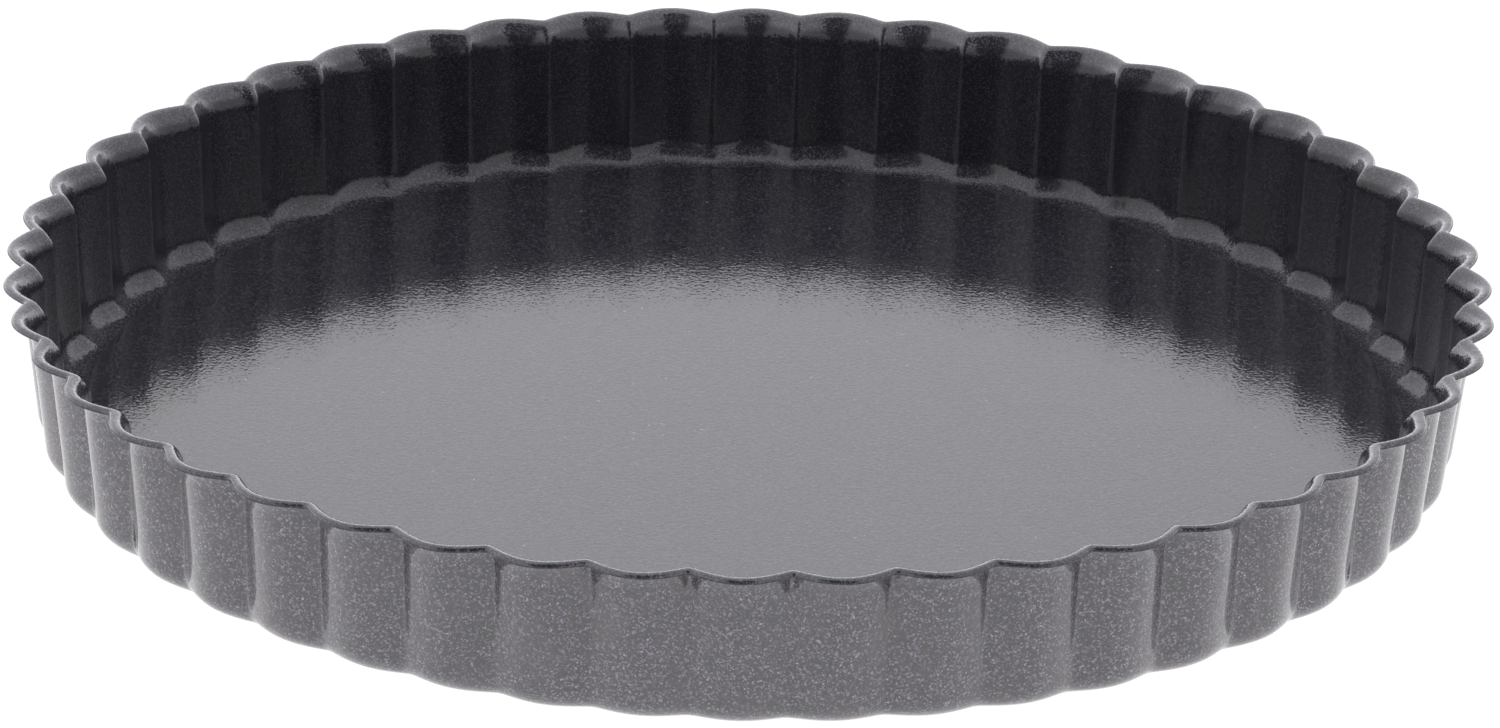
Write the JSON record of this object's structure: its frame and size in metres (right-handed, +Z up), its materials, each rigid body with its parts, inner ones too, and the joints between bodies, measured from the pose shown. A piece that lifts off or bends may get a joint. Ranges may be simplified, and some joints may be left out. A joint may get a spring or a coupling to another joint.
{
  "type": "tart pan",
  "caption": "Round fluted tart pan with a rolled-out rim and a loose flat base that rests on the ring's inner ledge and lifts out upwards.",
  "frame": {"origin": "centre of the pan's underside, level with the face it stands on", "axes": "+Z up through the centre of the pan; a flute crest lies on +X"},
  "size_m": [0.2826, 0.2826, 0.032],
  "materials": {
    "ring_coat": "dark grey non-stick coat with a fine metallic fleck, semi-gloss",
    "base_coat": "dark grey non-stick coat, glossy with a fine orange-peel texture"
  },
  "bodies": {
    "ring": {"fluted_ring": "ring_coat"},
    "base": {"loose_base": "base_coat"}
  },
  "joints": [
    {"name": "base_lift", "type": "slide", "parent": "ring", "child": "base", "axis": [0, 0, 1], "range_m": [0, 0.05]}
  ]
}
